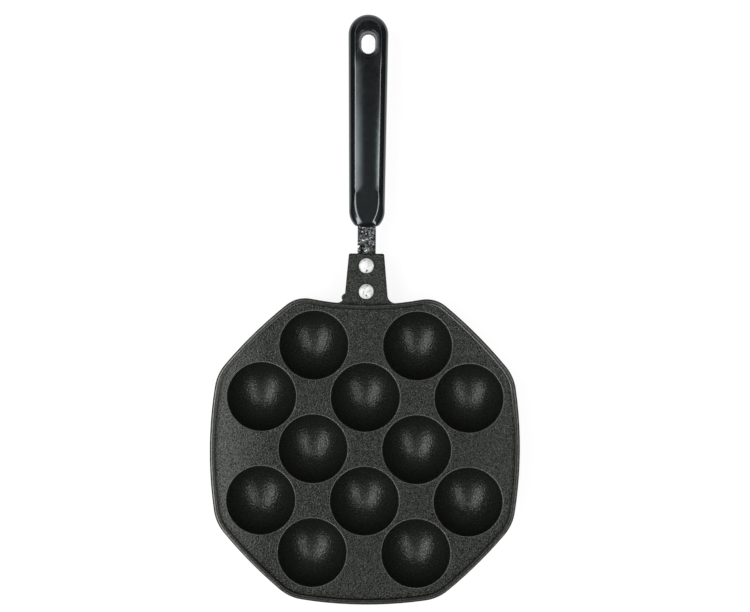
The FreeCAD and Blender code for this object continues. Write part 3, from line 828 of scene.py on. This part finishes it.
def phenolic_material():
    """Glossy black phenolic, with the faint waviness and cloud of a moulding."""
    g = material_graph("phenolic")
    where = g.position()
    in_hole = hole_wall_share(g, where)
    cloud = g.remap(g.noise(where, **PHENOLIC_CLOUD), *CLOUD_STRETCH)
    dust = g.remap(g.cells(where, DUST_PER_METRE), *DUST_STRETCH, 1.0, 0.0)
    base = g.shade(cloud, PHENOLIC_SHADES, PHENOLIC_TINT)
    base = g.mix(g.product(dust, DUST_SHARE), base, grey(DUST_SHADE, PHENOLIC_TINT))
    # Painted sheen on the hanging hole's wall.
    base = g.mix(in_hole, base, grey(HOLE_WALL_SHEEN_SHADE, PHENOLIC_TINT))
    rough = g.blend(in_hole, g.blend(cloud, *PHENOLIC_ROUGHNESS), HOLE_WALL_ROUGHNESS)
    normal = g.bump(g.noise(where, **WAVE), WAVE_DEPTH, WAVE_STRENGTH)
    return g.finish(Base_Color=base, Roughness=rough, IOR=PHENOLIC_IOR, Specular_Tint=PHENOLIC_SHEEN_TINT,
                    Normal=normal)


# ---------------------------------------------------------------- shape of the rivets

# Millimetres, as the handle's sizes.
RIVET_HEAD_RADIUS = 5.15
RIVET_HEAD_HEIGHT = 1.9
RIVET_HEAD_ROUND = 0.75
RIVET_CROWN = 0.33
RIVET_SHANK_RADIUS = 2.5
RIVET_TAIL_RADIUS = 4.4
RIVET_TAIL_HEIGHT = 1.6
RIVET_TAIL_CHAMFER = 0.5

# The head's relief: a fine groove near its rim, dents inside it, and the setting tool's pit.
RIVET_GROOVE_RADIUS = 4.05
RIVET_GROOVE_WIDTH = 0.28
RIVET_GROOVE_DEPTH = 0.12
RIVET_DENT_DEPTH = 0.10
RIVET_DENT_SIZE = 2.6
RIVET_DENT_REACH = 3.4
RIVET_DENT_FADE = 1.4
RIVET_DENT_SINK = 0.3
SMALL_DENT_SHARE = 0.5
SMALL_DENT_SCALE = 2.3
RIVET_PIT_RADIUS = 0.7
RIVET_PIT_DEPTH = 0.9

# Where each rivet's dents are drawn from, and its pit's place from the head's middle.
RIVETS = {
    "front_rivet": {"seed": 3.7, "pit": (0.4, -3.3)},
    "rear_rivet": {"seed": 8.1, "pit": (0.1, -2.6)},
}

# How finely a rivet is divided: about its axis, over its head, and round the head's rim.
RIVET_TURNS = 72
RIVET_RINGS = 30
ROUND_RINGS = 7


def rivet_profile(low, high):
    """Radius and height from the tail's middle round to the head's rim, and in over its top."""
    tail_top = low + RIVET_TAIL_HEIGHT
    seat = high - RIVET_HEAD_HEIGHT
    chamfered = RIVET_TAIL_RADIUS - RIVET_TAIL_CHAMFER
    profile = [
        (chamfered / 2, low),
        (chamfered, low),
        (RIVET_TAIL_RADIUS, low + RIVET_TAIL_CHAMFER),
        (RIVET_TAIL_RADIUS, tail_top),
        (RIVET_SHANK_RADIUS, tail_top),
        (RIVET_SHANK_RADIUS, seat),
        (RIVET_HEAD_RADIUS, seat),
    ]
    flat = RIVET_HEAD_RADIUS - RIVET_HEAD_ROUND
    shoulder = high - RIVET_CROWN - RIVET_HEAD_ROUND
    for step in range(ROUND_RINGS):
        angle = math.pi / 2 * step / ROUND_RINGS
        height = shoulder + RIVET_HEAD_ROUND * math.sin(angle)
        profile.append((flat + RIVET_HEAD_ROUND * math.cos(angle), height))
    for step in range(RIVET_RINGS):
        radius = flat * (1 - step / RIVET_RINGS)
        profile.append((radius, high - RIVET_CROWN * (radius / flat) ** 2))
    return profile


def head_relief(x, y, radius, seed, pit):
    """How much the head's top sinks at a point."""
    groove = math.exp(-((radius - RIVET_GROOVE_RADIUS) / RIVET_GROOVE_WIDTH) ** 2)
    inside = 1 - smooth_step((radius - RIVET_DENT_REACH) / RIVET_DENT_FADE)
    place = Vector((x / RIVET_DENT_SIZE, y / RIVET_DENT_SIZE, seed))
    dents = noise.noise(place) + SMALL_DENT_SHARE * noise.noise(place * SMALL_DENT_SCALE)
    from_pit = math.hypot(x - pit[0], y - pit[1]) / RIVET_PIT_RADIUS
    sunk = RIVET_PIT_DEPTH * max(0.0, 1 - from_pit * from_pit)
    return RIVET_GROOVE_DEPTH * groove + RIVET_DENT_DEPTH * inside * (dents + RIVET_DENT_SINK) + sunk


def rivet_mesh(node, seed, pit):
    """One set rivet, where its carried-over solid is."""
    low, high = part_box(node)
    centre_x = (low[0] + high[0]) / 2
    centre_y = (low[1] + high[1]) / 2
    profile = rivet_profile(low[2] / MM, high[2] / MM)
    top = len(profile) - RIVET_RINGS
    vertices = []
    for number, (radius, height) in enumerate(profile):
        for turn in range(RIVET_TURNS):
            angle = 2 * math.pi * turn / RIVET_TURNS
            x = radius * math.cos(angle)
            y = radius * math.sin(angle)
            sunk = head_relief(x, y, radius, seed, pit) if number >= top else 0
            vertices.append((centre_x + x * MM, centre_y + y * MM, (height - sunk) * MM))
    faces = []
    for i in range(len(profile) - 1):
        for j in range(RIVET_TURNS):
            after = (j + 1) % RIVET_TURNS
            faces.append((i * RIVET_TURNS + j, i * RIVET_TURNS + after,
                          (i + 1) * RIVET_TURNS + after, (i + 1) * RIVET_TURNS + j))
    last = (len(profile) - 1) * RIVET_TURNS
    bottom_pole = len(vertices)
    vertices.append((centre_x, centre_y, low[2]))
    vertices.append((centre_x, centre_y, high[2] - head_relief(0, 0, 0, seed, pit) * MM))
    for j in range(RIVET_TURNS):
        after = (j + 1) % RIVET_TURNS
        faces.append((bottom_pole, after, j))
        faces.append((bottom_pole + 1, last + j, last + after))
    return finished_mesh(node, vertices, faces)


# ---------------------------------------------------------------- pieces

def add_piece(name, mesh, material, node):
    """A finished piece that stands for one carried-over solid."""
    mesh.materials.append(material)
    piece = bpy.data.objects.new(name, mesh)
    bpy.context.scene.collection.objects.link(piece)
    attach(piece, "root")
    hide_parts(node)


def dress(node, material):
    """Gives a carried-over solid its finish."""
    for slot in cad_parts[node].material_slots:
        slot.material = material


# ---------------------------------------------------------------- floor

# The floor's shade in the light that it throws on the pan, then its shade and glow to the
# camera and in reflections.
FLOOR_SHADE = 0.8
SEEN_FLOOR_SHADE = 0.2
SEEN_FLOOR_GLOW = 0.88
FLOOR_HALF_SIZE = 12.0
FLOOR_DROP = 0.2 * MM


def floor_material():
    """Pale floor: white to the camera and in reflections, and it keeps a soft shadow."""
    g = material_graph("floor")
    path = g.node("ShaderNodeLightPath")
    seen = g.math("MAXIMUM", path.outputs["Is Camera Ray"], path.outputs["Is Glossy Ray"])
    seen = g.math("MAXIMUM", seen, path.outputs["Is Transmission Ray"])
    plain = g.node("ShaderNodeBsdfDiffuse", {"Color": grey(FLOOR_SHADE)})
    faint = g.node("ShaderNodeBsdfDiffuse", {"Color": grey(SEEN_FLOOR_SHADE)})
    glow = g.node("ShaderNodeEmission", {"Color": grey(1.0), "Strength": SEEN_FLOOR_GLOW})
    bright = g.node("ShaderNodeAddShader", {0: faint.outputs["BSDF"], 1: glow.outputs["Emission"]})
    pick = g.node("ShaderNodeMixShader", {"Fac": seen, 1: plain.outputs["BSDF"], 2: bright.outputs[0]})
    g.node("ShaderNodeOutputMaterial", {"Surface": pick.outputs[0]})
    return g.owner


def add_floor():
    """A wide floor, a little under the pan's feet."""
    half = FLOOR_HALF_SIZE
    mesh = bpy.data.meshes.new("floor")
    corners = [(-half, -half, 0), (half, -half, 0), (half, half, 0), (-half, half, 0)]
    mesh.from_pydata(corners, [], [(0, 1, 2, 3)])
    mesh.materials.append(floor_material())
    floor = bpy.data.objects.new("floor", mesh)
    bpy.context.scene.collection.objects.link(floor)
    floor.location.z = -FLOOR_DROP


# ---------------------------------------------------------------- light

PLATE_MIDDLE = Vector((0, PAN_CENTRE_Y, PLATE_TOP_Z))
BOX_DISTANCE = 4.0

# Each softbox is evenly bright over its outer part and fades over the rest, towards the
# middle of the view: the directions of its two ends, its whole width in radians, the share
# that fades, and how fast.
RIGHT_BOX = {"low_end": (0.43, -0.88, 0.20), "high_end": (0.21, 0.34, 0.93), "radiance": 8.25,
             "width": 0.165, "fading": 0.62, "power": 2.5}
LEFT_BOX = {"low_end": (-0.40, -0.86, 0.22), "high_end": (-0.19, 0.34, 0.91), "radiance": 7.9,
            "width": 0.37, "fading": 0.84, "power": 1.7}


def fade_light(data, fading, power):
    """Makes an area light fade towards one of its long sides."""
    g = Graph(data)
    across, _, _ = g.axes(g.node("ShaderNodeNewGeometry").outputs["Parametric"])
    strength = g.math("POWER", g.remap(across, 0.0, fading), power)
    emission = g.node("ShaderNodeEmission", {"Strength": strength})
    g.node("ShaderNodeOutputLight", {"Surface": emission.outputs["Emission"]})


def add_softbox(name, low_end, high_end, radiance, width, fading, power):
    """One tall strip softbox beside the pan, leaning over it."""
    low = Vector(low_end).normalized() * BOX_DISTANCE
    high = Vector(high_end).normalized() * BOX_DISTANCE
    middle = (low + high) / 2
    along = (high - low).normalized() * math.copysign(1, middle.x)
    back = middle.normalized()
    outward = along.cross(back)
    data = bpy.data.lights.new(name, "AREA")
    data.shape = "RECTANGLE"
    data.size = width * BOX_DISTANCE
    data.size_y = (high - low).length
    # A lamp of this radiance gives out pi times its area for each unit.
    data.energy = radiance * math.pi * data.size * data.size_y
    fade_light(data, fading, power)
    light = bpy.data.objects.new(name, data)
    bpy.context.scene.collection.objects.link(light)
    turn = Matrix((outward, along, back)).transposed().to_4x4()
    light.matrix_world = Matrix.Translation(PLATE_MIDDLE + middle) @ turn


# The studio's brightness: overhead, on the handle's side of that, at the horizon, and on the
# backdrop beyond the handle. A stretch is where one goes over into another, by the y or z of
# a direction.
OVERHEAD_RADIANCE = 0.27
HANDLE_SIDE_RADIANCE = 0.083
HORIZON_RADIANCE = 0.075
BACKDROP_RADIANCE = 0.525
HANDLE_SIDE_STRETCH = (-0.045, 0.012)
BACKDROP_STRETCH = (0.3, 0.95)
HEIGHT_STRETCH = (0.1, 1.0)


def add_world():
    """A dim studio: grey overhead, darker on the handle's side and towards the horizon."""
    world = bpy.data.worlds.new("studio")
    bpy.context.scene.world = world
    g = Graph(world)
    _, y, z = g.axes(g.node("ShaderNodeTexCoord").outputs["Generated"])
    overhead = g.remap(y, *HANDLE_SIDE_STRETCH, OVERHEAD_RADIANCE, HANDLE_SIDE_RADIANCE, "SMOOTHSTEP")
    horizon = g.remap(y, *BACKDROP_STRETCH, HORIZON_RADIANCE, BACKDROP_RADIANCE, "SMOOTHSTEP")
    radiance = g.remap(z, *HEIGHT_STRETCH, horizon, overhead, "SMOOTHSTEP")
    background = g.node("ShaderNodeBackground", {"Color": radiance})
    g.node("ShaderNodeOutputWorld", {"Surface": background.outputs["Background"]})


# ---------------------------------------------------------------- the whole scene

bpy.context.scene.view_settings.view_transform = "Standard"
add_camera()
add_floor()
add_softbox("softbox_right", **RIGHT_BOX)
add_softbox("softbox_left", **LEFT_BOX)
add_world()

dress("pan_casting", coating_material())
dress("handle_tang", steel_material())
aluminium = rivet_material()
for rivet, marks in RIVETS.items():
    add_piece(rivet + "_set", rivet_mesh(rivet, **marks), aluminium, rivet)
add_piece("handle", handle_mesh(), phenolic_material(), "handle_grip")
